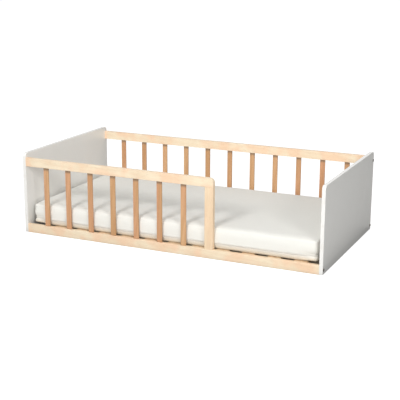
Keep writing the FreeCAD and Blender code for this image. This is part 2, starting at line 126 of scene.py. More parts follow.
def blendColor(tree, factor, first, second):
    node = tree.nodes.new("ShaderNodeMix")
    node.data_type = "RGBA"
    feed(tree, node.inputs[0], factor)
    feed(tree, node.inputs[6], first)
    feed(tree, node.inputs[7], second)
    return node.outputs[2]


def tinted(tree, color, mask, amount, other):
    return blendColor(tree, calc(tree, "MULTIPLY", mask, amount), color, other)


def newGroup(name, inputs, outputs):
    tree = bpy.data.node_groups.new(name, "ShaderNodeTree")
    newSocket = tree.interface.new_socket
    for label, kind, value in inputs:
        socket = newSocket(name=label, in_out="INPUT", socket_type="NodeSocket" + kind)
        if value is not None:
            socket.default_value = value
    for label, kind in outputs:
        newSocket(name=label, in_out="OUTPUT", socket_type="NodeSocket" + kind)
    start = tree.nodes.new("NodeGroupInput")
    end = tree.nodes.new("NodeGroupOutput")
    return tree, start.outputs, end.inputs


def useGroup(tree, group, **inputs):
    node = tree.nodes.new("ShaderNodeGroup")
    node.node_tree = group
    for name, value in inputs.items():
        feed(tree, node.inputs[name.replace("_", " ")], value)
    return node.outputs


def newMaterial(name, turn=(0, 0, 0), **settings):
    material = bpy.data.materials.new(name)
    material.use_nodes = True
    tree = material.node_tree
    shader = tree.nodes["Principled BSDF"]
    for label, value in settings.items():
        shader.inputs[label.replace("_", " ")].default_value = value
    place = addNode(tree, "ShaderNodeTexCoord").outputs["Object"]
    turned = addNode(tree, "ShaderNodeMapping", Vector=place, Rotation=turn)
    return material, tree, shader, turned.outputs["Vector"]


def paint(tree, shader, color, roughness=None):
    tree.links.new(color, shader.inputs["Base Color"])
    if roughness is not None:
        tree.links.new(roughness, shader.inputs["Roughness"])


def bump(tree, shader, height, strength, distance):
    node = addNode(tree, "ShaderNodeBump", Strength=strength, Distance=distance, Height=height)
    tree.links.new(node.outputs["Normal"], shader.inputs["Normal"])


# shared effects

grainLook = {
    "ringStretch": (0.07, 1.0, 0.8),
    "ringDrift": 14.0,
    "fibreStretch": (9, 620, 620),
    "poreStretch": (55, 1500, 1500),
    "boardStretch": 8.4,            # how fast the tone changes across the boards
    "warmShift": (4.7, 2.1, 7.9),   # keeps the warm patches apart from the dark ones
    "warmth": 0.7,
    "flecks": 0.22,
    "fleck": (0.30, 0.17, 0.08, 1),
    "roughness": 0.44,
}


def makeWoodGrain(look):
    # grain runs along X of Place
    tree, given, result = newGroup("woodGrain", [
        ("Place", "Vector", None), ("Pale", "Color", (0.85, 0.70, 0.52, 1)),
        ("Dark", "Color", (0.66, 0.46, 0.28, 1)), ("Warm", "Color", (0.84, 0.60, 0.44, 1)),
        ("Ring Scale", "Float", 36.0), ("Rings", "Float", 0.35), ("Fibres", "Float", 0.3),
        ("Board Change", "Float", 0.4), ("Run Change", "Float", 1.2)],
        [("Color", "Color"), ("Roughness", "Float"), ("Height", "Float")])
    place = given["Place"]
    drift = speckle(tree, stretch(tree, place, (1.6, 9, 9)), 1.0, 2.0)
    rings = addNode(tree, "ShaderNodeTexWave", {"wave_type": "BANDS", "bands_direction": "DIAGONAL"},
                    Vector=stretch(tree, place, look["ringStretch"]), Scale=given["Ring Scale"],
                    Distortion=6.0, Detail=3.0, Detail_Scale=0.9,
                    Phase_Offset=calc(tree, "MULTIPLY", drift, look["ringDrift"]))
    lines = band(tree, rings.outputs["Fac"], 0.25, 0.95)
    fibres = speckle(tree, stretch(tree, place, look["fibreStretch"]), 1.0, 4.0, 0.62)
    streaks = band(tree, fibres, 0.38, 0.68)
    pores = band(tree, speckle(tree, stretch(tree, place, look["poreStretch"]), 1.0, 1.0), 0.6, 0.72)
    runs = addNode(tree, "ShaderNodeCombineXYZ", X=given["Run Change"], Y=look["boardStretch"],
                   Z=look["boardStretch"]).outputs[0]
    slow = calcVector(tree, "MULTIPLY", place, runs)
    tone = band(tree, speckle(tree, slow, 1.0, 1.0), 0.36, 0.64)
    moved = stretch(tree, slow, (1.3, 1.3, 1.3), look["warmShift"])
    warm = band(tree, speckle(tree, moved, 1.0, 1.0), 0.42, 0.64)
    color = tinted(tree, given["Pale"], tone, given["Board Change"], given["Dark"])
    color = tinted(tree, color, warm, look["warmth"], given["Warm"])
    color = tinted(tree, color, lines, given["Rings"], given["Dark"])
    color = tinted(tree, color, streaks, given["Fibres"], given["Dark"])
    color = tinted(tree, color, pores, look["flecks"], look["fleck"])
    tree.links.new(color, result["Color"])
    rough = calc(tree, "MULTIPLY_ADD", streaks, 0.12, look["roughness"])
    tree.links.new(calc(tree, "MULTIPLY_ADD", pores, 0.12, rough), result["Roughness"])
    raised = calc(tree, "MULTIPLY_ADD", fibres, 0.6, calc(tree, "MULTIPLY", lines, 0.25))
    tree.links.new(calc(tree, "SUBTRACT", raised, calc(tree, "MULTIPLY", pores, 0.5)), result["Height"])
    return tree


def makeFineWear():
    # soft smudges and short scuffs from handling
    tree, given, result = newGroup("fineWear", [
        ("Place", "Vector", None), ("Smudge Scale", "Float", 7.0), ("Scuff Scale", "Float", 60.0)],
        [("Smudge", "Float"), ("Scuff", "Float")])
    place = given["Place"]
    smudge = speckle(tree, place, given["Smudge Scale"], 4.0, 0.6)
    tree.links.new(band(tree, smudge, 0.42, 0.66), result["Smudge"])
    scuff = speckle(tree, stretch(tree, place, (0.35, 1.0, 2.2)), given["Scuff Scale"], 3.0, 0.7)
    tree.links.new(band(tree, scuff, 0.62, 0.72), result["Scuff"])
    return tree


def makePlainWeave():
    # threads over and under, picked by the way the cloth faces
    tree, given, result = newGroup("plainWeave", [
        ("Place", "Vector", None), ("Facing", "Vector", None), ("Threads", "Float", 4200.0),
        ("Slub", "Float", 0.5)],
        [("Thread", "Float"), ("Shade", "Float")])
    phase = addNode(tree, "ShaderNodeVectorMath", {"operation": "SCALE"}, Scale=given["Threads"])
    tree.links.new(given["Place"], phase.inputs[0])
    waves = axesOf(tree, calcVector(tree, "SINE", phase.outputs[0]))
    facing = axesOf(tree, calcVector(tree, "MULTIPLY", given["Facing"], given["Facing"]))
    woven = calc(tree, "MULTIPLY", calc(tree, "MULTIPLY", waves[0], waves[1]), facing[2])
    woven = calc(tree, "MULTIPLY_ADD", calc(tree, "MULTIPLY", waves[0], waves[2]), facing[1], woven)
    woven = calc(tree, "MULTIPLY_ADD", calc(tree, "MULTIPLY", waves[1], waves[2]), facing[0], woven)
    along = speckle(tree, stretch(tree, given["Place"], (14, 420, 420)), 1.0, 2.0)
    across = speckle(tree, stretch(tree, given["Place"], (420, 14, 30)), 1.0, 2.0)
    slub = calc(tree, "MULTIPLY", calc(tree, "ADD", along, across), given["Slub"])
    thread = calc(tree, "MULTIPLY_ADD", woven, 0.5, slub)
    tree.links.new(thread, result["Thread"])
    tree.links.new(band(tree, thread, -0.2, 1.1), result["Shade"])
    return tree


woodGrain = makeWoodGrain(grainLook)
fineWear = makeFineWear()
plainWeave = makePlainWeave()
print("shared effects ready")


# wood of the rails, post, slats, base and dowels

alongX = (0, 0, 0)
alongY = (0, 0, -math.pi / 2)
alongZ = (0, math.pi / 2, 0)

dowelLook = {"Pale": (0.78, 0.58, 0.38, 1), "Dark": (0.56, 0.36, 0.20, 1),
             "Warm": (0.76, 0.52, 0.33, 1), "Ring_Scale": 60.0, "Rings": 0.3, "Fibres": 0.35,
             "Board_Change": 0.3, "Run_Change": 4.0}

woods = {
    "railWood": {"turn": alongX, "Pale": (0.935, 0.81, 0.61, 1), "Dark": (0.81, 0.59, 0.39, 1),
                 "Warm": (0.94, 0.635, 0.43, 1), "Ring_Scale": 30.0, "Rings": 0.20, "Fibres": 0.22,
                 "Board_Change": 0.34, "Run_Change": 9.0},
    "postWood": {"turn": alongZ, "Pale": (0.91, 0.735, 0.52, 1), "Dark": (0.77, 0.55, 0.355, 1),
                 "Warm": (0.91, 0.68, 0.47, 1), "Ring_Scale": 30.0, "Rings": 0.24, "Fibres": 0.24,
                 "Board_Change": 0.5, "Run_Change": 3.0},
    "slatWood": {"turn": alongZ, "Pale": (0.70, 0.43, 0.225, 1), "Dark": (0.47, 0.24, 0.105, 1),
                 "Warm": (0.68, 0.345, 0.20, 1), "Ring_Scale": 34.0, "Rings": 0.30, "Fibres": 0.30,
                 "Board_Change": 0.65, "Run_Change": 0.9},
    "battenWood": {"turn": alongX, "Pale": (0.80, 0.62, 0.40, 1), "Dark": (0.58, 0.38, 0.20, 1),
                   "Warm": (0.78, 0.55, 0.34, 1), "Ring_Scale": 24.0, "Rings": 0.45, "Fibres": 0.3,
                   "Board_Change": 0.4, "Run_Change": 1.5},
    "baseSlatWood": {"turn": alongY, "Pale": (0.82, 0.64, 0.43, 1), "Dark": (0.60, 0.40, 0.22, 1),
                     "Warm": (0.80, 0.56, 0.36, 1), "Ring_Scale": 22.0, "Rings": 0.45, "Fibres": 0.3,
                     "Board_Change": 0.5, "Run_Change": 1.2},
    "railDowelWood": dict(dowelLook, turn=alongX),
    "postDowelWood": dict(dowelLook, turn=alongZ),
}

# painted shade on the slats where they meet the rails: height, reach, strength
slatRailShadeBands = ((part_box("guard_top_rail")[0].z, 0.017, 0.85),
              (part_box("front_bottom_rail")[1].z, 0.006, 0.4))

woodFinish = {
    "smudged": 0.06,
    "scuffed": 0.1,
    # colour of the painted shade on the slats beside the rails
    "railShadeColor": (0.24, 0.16, 0.10, 1),
    "relief": 0.35,
    "reliefHeight": 0.0006,
}


def makeWood(name, look, joints=()):
    look = dict(look)
    material, tree, shader, place = newMaterial(
        name, look.pop("turn"), Coat_Weight=0.12, Coat_Roughness=0.35, Specular_IOR_Level=0.4)
    grain = useGroup(tree, woodGrain, Place=place, **look)
    wear = useGroup(tree, fineWear, Place=place, Smudge_Scale=11.0, Scuff_Scale=90.0)
    color = tinted(tree, grain["Color"], wear["Smudge"], woodFinish["smudged"], look["Dark"])
    if joints:
        height = axesOf(tree, place)["X"]
        # painted shade: the slats darken just under the top rail and just above the bottom rail, where
        # the rails shade them
        for level, reach, strength in joints:
            shadeBand = band(tree, awayFrom(tree, height, level), reach * 0.3, reach, 1.0, 0.0)
            color = tinted(tree, color, shadeBand, strength, woodFinish["railShadeColor"])
    rough = calc(tree, "MULTIPLY_ADD", wear["Scuff"], woodFinish["scuffed"], grain["Roughness"])
    paint(tree, shader, color, rough)
    bump(tree, shader, grain["Height"], woodFinish["relief"], woodFinish["reliefHeight"])
    return material


woodMaterials = {name: makeWood(name, look, slatRailShadeBands if name == "slatWood" else ())
                 for name, look in woods.items()}
print("woods ready")


# lacquered white board of the end panels

boardLook = {
    "white": (0.895, 0.885, 0.855, 1),
    "greyed": (0.79, 0.78, 0.75, 1),        # handled places
    "edgeShade": (0.70, 0.66, 0.58, 1),     # where the lacquer thins at the arrises
    "edgeWidth": 0.0022,
    "smudged": 0.18,
    "thinned": 0.22,
    "scuffed": 0.07,
    "roughness": 0.34,
    "relief": 0.12,
    "reliefHeight": 0.0004,
}


def makeBoard(look):
    material, tree, shader, place = newMaterial(
        "whiteBoard", Coat_Weight=0.8, Coat_Roughness=0.25, Specular_IOR_Level=0.45)
    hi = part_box("left_panel")[1]
    parts = axesOf(tree, place)
    wear = useGroup(tree, fineWear, Place=place, Smudge_Scale=5.0, Scuff_Scale=45.0)
    fromSide = calc(tree, "SUBTRACT", hi.y, calc(tree, "ABSOLUTE", parts["Y"]))
    fromTop = calc(tree, "SUBTRACT", hi.z, parts["Z"])
    rim = band(tree, calc(tree, "MINIMUM", fromSide, fromTop), 0.0, look["edgeWidth"], 1.0, 0.0)
    patchy = calc(tree, "MULTIPLY", rim, band(tree, speckle(tree, place, 38.0, 3.0), 0.48, 0.7))
    color = tinted(tree, look["white"], wear["Smudge"], look["smudged"], look["greyed"])
    color = tinted(tree, color, patchy, look["thinned"], look["edgeShade"])
    color = tinted(tree, color, wear["Scuff"], look["scuffed"], look["greyed"])
    rough = calc(tree, "MULTIPLY_ADD", wear["Smudge"], 0.12, look["roughness"])
    paint(tree, shader, color, calc(tree, "MULTIPLY_ADD", wear["Scuff"], 0.15, rough))
    peel = speckle(tree, place, 420.0, 3.0, 0.55)
    ripple = calc(tree, "MULTIPLY_ADD", speckle(tree, place, 60.0, 2.0), 0.6, peel)
    bump(tree, shader, ripple, look["relief"], look["reliefHeight"])
    return material


# metals

metalLooks = {
    "boltBronze": {"color": (0.13, 0.115, 0.10, 1), "worn": (0.34, 0.31, 0.27, 1),
                   "rough": 0.36, "grain": 900.0},
    "nutZinc": {"color": (0.58, 0.59, 0.61, 1), "worn": (0.74, 0.74, 0.74, 1),
                "rough": 0.34, "grain": 700.0},
    "screwZinc": {"color": (0.62, 0.60, 0.52, 1), "worn": (0.78, 0.76, 0.70, 1),
                  "rough": 0.32, "grain": 900.0},
    "stapleSteel": {"color": (0.60, 0.61, 0.62, 1), "worn": (0.76, 0.77, 0.78, 1),
                    "rough": 0.28, "grain": 1200.0},
}


def makeMetal(name, look):
    material, tree, shader, place = newMaterial(name, Metallic=1.0)
    wear = useGroup(tree, fineWear, Place=place, Smudge_Scale=90.0, Scuff_Scale=500.0)
    color = tinted(tree, look["color"], wear["Smudge"], 0.35, look["worn"])
    color = tinted(tree, color, wear["Scuff"], 0.6, look["worn"])
    grain = speckle(tree, place, look["grain"], 3.0)
    rough = calc(tree, "MULTIPLY_ADD", grain, 0.16, look["rough"])
    paint(tree, shader, color, calc(tree, "MULTIPLY_ADD", wear["Smudge"], 0.1, rough))
    bump(tree, shader, grain, 0.25, 0.0002)
    return material


metalMaterials = {name: makeMetal(name, look) for name, look in metalLooks.items()}


# cloths

clothLooks = {
    "cottonCover": {"pale": (0.875, 0.87, 0.825, 1), "deep": (0.81, 0.80, 0.745, 1),
                    "threads": 3600.0, "slub": 0.5, "height": 0.0005, "strength": 0.3,
                    "stitch": (0.93, 0.92, 0.89, 1), "foot": (0.68, 0.60, 0.47, 1)},
    "zipTape": {"pale": (0.89, 0.88, 0.835, 1), "deep": (0.80, 0.785, 0.73, 1),
                "threads": 5200.0, "slub": 0.3, "height": 0.0006, "strength": 0.6},
    "webbingTape": {"pale": (0.80, 0.78, 0.72, 1), "deep": (0.58, 0.55, 0.48, 1),
                    "threads": 2600.0, "slub": 0.35, "height": 0.0006, "strength": 0.6},
}


def weaveOf(tree, place, look):
    facing = addNode(tree, "ShaderNodeTexCoord").outputs["Normal"]
    return useGroup(tree, plainWeave, Place=place, Facing=facing, Threads=look["threads"],
                    Slub=look["slub"])


def makeCloth(name, look, trim=None):
    material, tree, shader, place = newMaterial(
        name, Sheen_Weight=0.2, Sheen_Roughness=0.6, Specular_IOR_Level=0.2)
    weave = weaveOf(tree, place, look)
    color = blendColor(tree, weave["Shade"], look["deep"], look["pale"])
    washed = band(tree, speckle(tree, place, 5.0, 3.0), 0.35, 0.7)
    color = tinted(tree, color, washed, 0.25, look["deep"])
    height = weave["Thread"]
    if trim:
        parts = axesOf(tree, place)
        # painted shade: the cover's lowest band is darkened and warmed, standing in for its shade and
        # the wooden rail's bounce there
        foot = band(tree, parts["Z"], *trim["foot"], 1.0, 0.0)      # warmer between these heights
        color = tinted(tree, color, foot, 0.9, look["foot"])
        run = calc(tree, "MULTIPLY", calc(tree, "ADD", parts["X"], parts["Y"]), 1500.0)
        dash = band(tree, calc(tree, "SINE", run), -0.5, -0.1)
        for row in trim["rows"]:                                    # running stitches
            line = band(tree, awayFrom(tree, parts["Z"], row), 0.0003, 0.0009, 1.0, 0.0)
            stitch = calc(tree, "MULTIPLY", line, dash)
            color = tinted(tree, color, stitch, 0.7, look["stitch"])
            height = calc(tree, "MULTIPLY_ADD", stitch, 1.5, height)
    paint(tree, shader, color, calc(tree, "MULTIPLY_ADD", weave["Shade"], -0.1, 0.92))
    bump(tree, shader, height, look["strength"], look["height"])
    return material


# carried-over pieces and what they are made of

def dress(material, *nodes):
    for name in nodes:
        for slot in cadNodes[name].material_slots:
            slot.material = material


def numbered(name, count):
    return [f"{name}_{number}" for number in range(1, count + 1)]


dress(makeBoard(boardLook), "left_panel", "right_panel")
dress(woodMaterials["railWood"], "front_bottom_rail", "guard_top_rail", "back_top_rail",
      "back_bottom_rail")
dress(woodMaterials["postWood"], "guard_post")
dress(woodMaterials["slatWood"], *numbered("guard_slat", 7), *numbered("back_slat", 11))
dress(woodMaterials["battenWood"], "front_batten", "back_batten")
dress(woodMaterials["baseSlatWood"], *numbered("base_slat", 11))
dress(woodMaterials["railDowelWood"], "left_rail_dowels", "right_rail_dowels")
dress(woodMaterials["postDowelWood"], "post_dowels")
dress(metalMaterials["boltBronze"], "left_connector_bolts", "right_connector_bolts")
dress(metalMaterials["nutZinc"], "left_barrel_nuts", "right_barrel_nuts")
dress(metalMaterials["screwZinc"], "front_batten_screws", "back_batten_screws")
dress(metalMaterials["stapleSteel"], "tape_staples")
print("finishes on the frame's pieces")


# mesh tools

def pieceFrom(bm, name, material):
    mesh = bpy.data.meshes.new(name)
    bm.to_mesh(mesh)
    bm.free()
    mesh.shade_smooth()
    mesh.materials.append(material)
    piece = bpy.data.objects.new(name, mesh)
    bpy.context.scene.collection.objects.link(piece)
    return piece


def applyModifiers(piece):
    bpy.context.view_layer.update()
    graph = bpy.context.evaluated_depsgraph_get()
    mesh = bpy.data.meshes.new_from_object(piece.evaluated_get(graph))
    piece.modifiers.clear()
    piece.data = mesh
    mesh.shade_smooth()


def roundEdges(bm, edges, radius, segments):
    bmesh.ops.bevel(bm, geom=edges, offset=radius, offset_type="OFFSET", segments=segments,
                    profile=0.5, affect="EDGES", clamp_overlap=True, material=-1)


def roundedBlock(lo, hi, corner, top, bottom):
    bm = bmesh.new()
    bmesh.ops.create_cube(bm, size=1.0)
    bmesh.ops.scale(bm, vec=hi - lo, verts=bm.verts)
    bmesh.ops.translate(bm, vec=(lo + hi) / 2, verts=bm.verts)
    upright = [e for e in bm.edges if abs(e.verts[0].co.z - e.verts[1].co.z) > 0.001]
    roundEdges(bm, upright, corner, 7)
    for level, radius in ((hi.z, top), (lo.z, bottom)):
        ring = [e for e in bm.edges if all(abs(v.co.z - level) < 1e-5 for v in e.verts)]
        roundEdges(bm, ring, radius, 4)
    return bm


def toNumpy(mesh):
    points = np.empty(len(mesh.vertices) * 3)
    mesh.vertices.foreach_get("co", points)
    return points.reshape(-1, 3)


def fromNumpy(mesh, points):
    mesh.vertices.foreach_set("co", points.astype(np.float32).ravel())
    mesh.update()


def smooth(value, low, high):
    t = np.clip((value - low) / (high - low), 0, 1)
    return t * t * (3 - 2 * t)


def bell(value, reach):
    return np.exp(-(value / reach) ** 2)


def noiseAt(points, scale, seed):
    shift = Vector((seed * 3.1, seed * 1.7, seed * 5.3))
    return np.array([noise.noise(Vector(p) + shift) for p in points * np.array(scale)])


def noiseSum(points, layers):
    return sum(noiseAt(points, scale, seed) * share for scale, seed, share in layers)


# mattress cover

coverLook = {
    "inset": Vector((0.0010, 0.0, -0.0015)),    # how much smaller the cover is cut than its space
    "corner": 0.018,
    "topRound": 0.010,
    "bottomRound": 0.003,
    "voxel": 0.011,
    "pressure": 4.0,
    "frames": 16,
    "cloth": {"quality": 6, "mass": 6.0, "tension_stiffness": 80, "compression_stiffness": 80,
              "shear_stiffness": 40, "bending_stiffness": 10},
    "swell": Vector((0.011, 0.010, 0.0035)),    # the furthest the filling pushes it out
    "flatFoot": (0.004, 0.03),                  # heights between which it starts to swell upwards
    # how far it may pass its space at the left and front, then at the right and back
    "past": ((0.0045, 0.0045), (-0.0030, 0.0045)),
    "softStop": 0.003,
    "hem": 0.008,           # the foot's sewn edge is squared this far in
    "hemShare": 0.8,
    "sideReach": (0.012, 0.03),
    "seamUp": 0.029,        # height of the sewn-in zip above the underside
    "seamRows": (-0.0115, -0.007, -0.0038, -0.0014, 0.0014, 0.0038, 0.007, 0.0115),
    "stitchUp": 0.0062,     # stitching above and below the seam
    "pinch": 0.0007,        # how far the seam draws in along the sides
    "cornerPinch": 0.0075,  # and how much more at the corners
    "pinchReach": 0.012,
    "groove": 0.0003,
    "grooveReach": 0.0024,
    "cornerReach": 0.045,
    "cornerLift": 0.0045,   # how far the underside's corners stand clear of the base
    "cornerDrop": 0.0035,   # how far the slack corners of the top sit down and in
    "crumple": 0.0013,
    "crumpleBand": (0.004, 0.016, 0.06, 0.095),
    "slant": 0.12,          # how much the folds lean along the bed
    "folds": (((8, 8, 48), 1, 0.7), ((22, 22, 85), 2, 0.45)),   # scale, seed and share
    "gather": 0.0004,       # small gathers at the seam
    "cornerGather": 0.0016,
    "gatherReach": 0.011,
    # where each effect fades in: a band is heights, the other distances in from the sides
    "liftBand": (0.0, 0.03),
    "liftIn": (0.0, 0.05),
    "topBand": (0.075, 0.098),
    "topIn": (0.0, 0.05),
    "rimBand": (0.07, 0.095),
    "rimIn": (0.01, 0.06),
    "slackBand": (0.05, 0.095),
    "slackIn": (0.0, 0.06),
    "restUp": 0.004,
    "restIn": 0.012,
    "topWave": 0.0011,
    "waves": (((3.3, 3.3, 1), 4, 1.0), ((9, 9, 1), 5, 0.35)),
    "rimWave": 0.0009,
    "footWarmth": (0.002, 0.036),   # heights above the underside between which the painted shade fades
}


def inflate(piece, look):
    scene = bpy.context.scene
    start = toNumpy(piece.data)
    cloth = piece.modifiers.new("filling", "CLOTH")
    for label, value in look["cloth"].items():
        setattr(cloth.settings, label, value)
    cloth.settings.use_pressure = True
    cloth.settings.uniform_pressure_force = look["pressure"]
    cloth.settings.effector_weights.gravity = 0
    cloth.collision_settings.use_collision = False
    cloth.point_cache.frame_start = 1
    cloth.point_cache.frame_end = look["frames"]
    for number in range(1, look["frames"] + 1):
        scene.frame_set(number)
    graph = bpy.context.evaluated_depsgraph_get()
    moved = toNumpy(piece.evaluated_get(graph).data) - start
    piece.modifiers.remove(cloth)
    scene.frame_set(1)
    moved[:, 2] *= smooth(start[:, 2] - start[:, 2].min(), *look["flatFoot"])
    print("filling pushed the cover out by up to", np.abs(moved).max(0).round(4))
    cap = np.array(look["swell"])
    fromNumpy(piece.data, start + cap * np.tanh(moved / cap))


def cutRows(mesh, seam, rows):
    # edge rows beside the seam, close enough together to hold its groove
    bm = bmesh.new()
    bm.from_mesh(mesh)
    for row in rows:
        bmesh.ops.bisect_plane(bm, geom=bm.verts[:] + bm.edges[:] + bm.faces[:], dist=1e-4,
                               plane_co=(0, 0, seam + row), plane_no=(0, 0, 1))
    bmesh.ops.remove_doubles(bm, verts=bm.verts, dist=0.0003)
    bm.to_mesh(mesh)
    bm.free()


def sideways(points, centre, half, corner):
    # distance in from the block's upright sides, and the way out
    flat = points[:, :2] - centre[:2]
    reach = np.abs(flat) - (half[:2] - corner)
    outside = np.maximum(reach, 0)
    length = np.linalg.norm(outside, axis=1)
    inside = np.minimum(np.maximum(reach[:, 0], reach[:, 1]), 0)
    depth = -(length + inside - corner)
    way = np.where(length[:, None] > 1e-6, outside, (reach == reach.max(1)[:, None]) * 1.0)
    way = way / np.maximum(np.linalg.norm(way, axis=1), 1e-9)[:, None] * np.sign(flat)
    return depth, way, reach


def shapeCover(piece, look, lo, hi):
    mesh = piece.data
    cutRows(mesh, lo.z + look["seamUp"], look["seamRows"])
    points = toNumpy(mesh)
    centre = np.array((lo + hi) / 2)
    half = np.array((hi - lo) / 2)
    depth, way, reach = sideways(points, centre, half, look["corner"])
    up = points[:, 2] - lo.z

    hem = np.clip(np.minimum(depth, up), 0, look["hem"]) * look["hemShare"]
    points[:, :2] += way * hem[:, None]
    points[:, 2] -= hem
    depth, up = depth - hem, up - hem

    # the seam draws the sides in, and the cloth gathers and folds beside it
    nearSide = 1 - smooth(depth, *look["sideReach"])
    nearCorner = bell(np.clip(-reach.min(1), 0, None), look["cornerReach"])
    off = up - look["seamUp"]
    uneven = 0.55 + 0.9 * smooth(noiseAt(points, (5, 5, 0.5), 7), -0.35, 0.35)
    pull = ((look["pinch"] * uneven + look["cornerPinch"] * nearCorner) * bell(off, look["pinchReach"])
            + look["groove"] * bell(off, look["grooveReach"]))
    slanted = points + np.array([0, 0, look["slant"]]) * points[:, :1]
    foldFrom, foldFull, foldFade, foldEnd = look["crumpleBand"]
    lower = smooth(up, foldFrom, foldFull) * (1 - smooth(up, foldFade, foldEnd))
    gather = (noiseAt(points, (60, 60, 14), 3) * bell(off, look["gatherReach"])
              * (look["gather"] + look["cornerGather"] * nearCorner))
    out = -pull + look["crumple"] * noiseSum(slanted, look["folds"]) * lower + gather
    points[:, :2] += way * (out * nearSide)[:, None]
    lift = (look["cornerLift"] * nearCorner * (1 - smooth(depth, *look["liftIn"]))
            * (1 - smooth(up, *look["liftBand"])))

    flat = points[:, :2] - centre[:2]
    widest = half[:2] + np.where(flat < 0, *np.array(look["past"]))
    stop = look["softStop"]
    over = np.abs(flat) - (widest - stop)
    points[:, :2] -= np.sign(flat) * np.where(over > 0, over - stop * np.tanh(over / stop), 0)

    # the top waves a little, its rim more closely, and its corners hang slack
    top = smooth(up, *look["topBand"]) * smooth(depth, *look["topIn"])
    points[:, 2] += look["topWave"] * noiseSum(points, look["waves"]) * top
    rim = smooth(up, *look["rimBand"]) * (1 - smooth(depth, *look["rimIn"]))
    points[:, 2] += look["rimWave"] * noiseAt(points, (12, 12, 4), 6) * rim
    slack = (look["cornerDrop"] * nearCorner * (1 - smooth(depth, *look["slackIn"]))
             * smooth(up, *look["slackBand"]))
    points[:, 2] -= slack
    points[:, :2] -= way * slack[:, None]

    resting = (up < look["restUp"]) & (depth > look["restIn"])
    points[resting, 2] = lo.z
    points[:, 2] = np.maximum(points[:, 2], lo.z) + lift
    fromNumpy(mesh, points)
    mesh.shade_smooth()


def makeCover(look):
    lo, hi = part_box("mattress_cover")
    seam = lo.z + look["seamUp"]
    material = makeCloth("cottonCover", clothLooks["cottonCover"], {
        "foot": [lo.z + up for up in look["footWarmth"]],
        "rows": (seam + look["stitchUp"], seam - look["stitchUp"])})
    cutLo = lo + look["inset"] * Vector((1, 1, 0))
    bm = roundedBlock(cutLo, hi - look["inset"], look["corner"], look["topRound"], look["bottomRound"])
    piece = pieceFrom(bm, "mattressCover", material)
    mesher = piece.modifiers.new("mesher", "REMESH")
    mesher.mode = "VOXEL"
    mesher.voxel_size = look["voxel"]
    applyModifiers(piece)
    inflate(piece, look)
    shapeCover(piece, look, lo, hi)
    softened = piece.modifiers.new("softened", "SUBSURF")
    softened.levels = softened.render_levels = 1
    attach(piece, "mattress")
    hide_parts("mattress_cover")
    return piece


cover = makeCover(coverLook)
print("mattress cover:", len(cover.data.polygons), "faces before the last subdivision")


# zip round the cover, lying in the seam

zipLook = {
    "reach": 0.0040,        # half its height
    "proud": 0.0003,
    "thick": 0.0009,
    "teeth": 0.0024,        # pitch
    "coil": (0.88, 0.86, 0.81, 1),
    "coilBand": (0.0012, 0.0017),
}


def makeZip(cover, look):
    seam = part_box("mattress_cover")[0].z + coverLook["seamUp"]
    bm = bmesh.new()
    bm.from_mesh(cover.data)
    away = [f for f in bm.faces if any(abs(v.co.z - seam) > look["reach"] for v in f.verts)]
    bmesh.ops.delete(bm, geom=away, context="FACES")
    bmesh.ops.recalc_face_normals(bm, faces=bm.faces)
    for vert in bm.verts:
        vert.co += vert.normal * look["proud"]
    bmesh.ops.solidify(bm, geom=bm.faces[:], thickness=-look["thick"])
    tape = clothLooks["zipTape"]
    material, tree, shader, place = newMaterial(
        "zipTape", Sheen_Weight=0.15, Specular_IOR_Level=0.35)
    weave = weaveOf(tree, place, tape)
    parts = axesOf(tree, place)
    along = calc(tree, "ADD", parts["X"], parts["Y"])
    run = calc(tree, "MULTIPLY", along, 2 * math.pi / look["teeth"])
    coil = calc(tree, "MULTIPLY",
                band(tree, awayFrom(tree, parts["Z"], seam), *look["coilBand"], 1.0, 0.0),
                calc(tree, "MULTIPLY_ADD", calc(tree, "SINE", run), 0.5, 0.5))
    color = blendColor(tree, weave["Shade"], tape["deep"], tape["pale"])
    color = blendColor(tree, coil, color, look["coil"])
    paint(tree, shader, color, calc(tree, "MULTIPLY_ADD", coil, -0.4, 0.85))
    raised = calc(tree, "MULTIPLY_ADD", coil, 2.0, weave["Thread"])
    bump(tree, shader, raised, tape["strength"], tape["height"])
    piece = pieceFrom(bm, "coverZip", material)
    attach(piece, "mattress")
    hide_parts("cover_zip")
    return piece


zipPiece = makeZip(cover, zipLook)
print("zip:", len(zipPiece.data.polygons), "faces")


# foam block inside the cover

foamLook = {
    "inset": Vector((0.022, 0.022, 0.010)),
    "corner": 0.016,
    "round": 0.012,
    "fresh": (0.86, 0.80, 0.62, 1),
    "aged": (0.80, 0.70, 0.48, 1),
    "cell": (0.62, 0.54, 0.36, 1),
    "cellScale": 420.0,
}


def makeFoam(look):
    material, tree, shader, place = newMaterial(
        "foamBlock", Roughness=0.95, Specular_IOR_Level=0.15)
    cells = addNode(tree, "ShaderNodeTexVoronoi", Vector=place, Scale=look["cellScale"])
    depth = cells.outputs["Distance"]
    aged = band(tree, speckle(tree, place, 9.0, 3.0), 0.4, 0.7)
    color = blendColor(tree, aged, look["fresh"], look["aged"])
    color = blendColor(tree, band(tree, depth, 0.0, 0.6), look["cell"], color)
    paint(tree, shader, color)
    bump(tree, shader, depth, 0.6, 0.0009)
    return material


def makeFoamBlock(look):
    lo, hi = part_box("mattress_cover")
    bm = roundedBlock(lo + look["inset"], hi - look["inset"], look["corner"], look["round"],
                      look["round"])
    piece = pieceFrom(bm, "foamBlock", makeFoam(look))
    piece.data.shade_flat()
    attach(piece, "mattress")
    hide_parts("mattress_core")


makeFoamBlock(foamLook)
print("foam block ready")


# webbing tapes under the base slats

tapeLook = {"sag": 0.0035, "steps": 24, "across": 4}    # steps per gap between slats


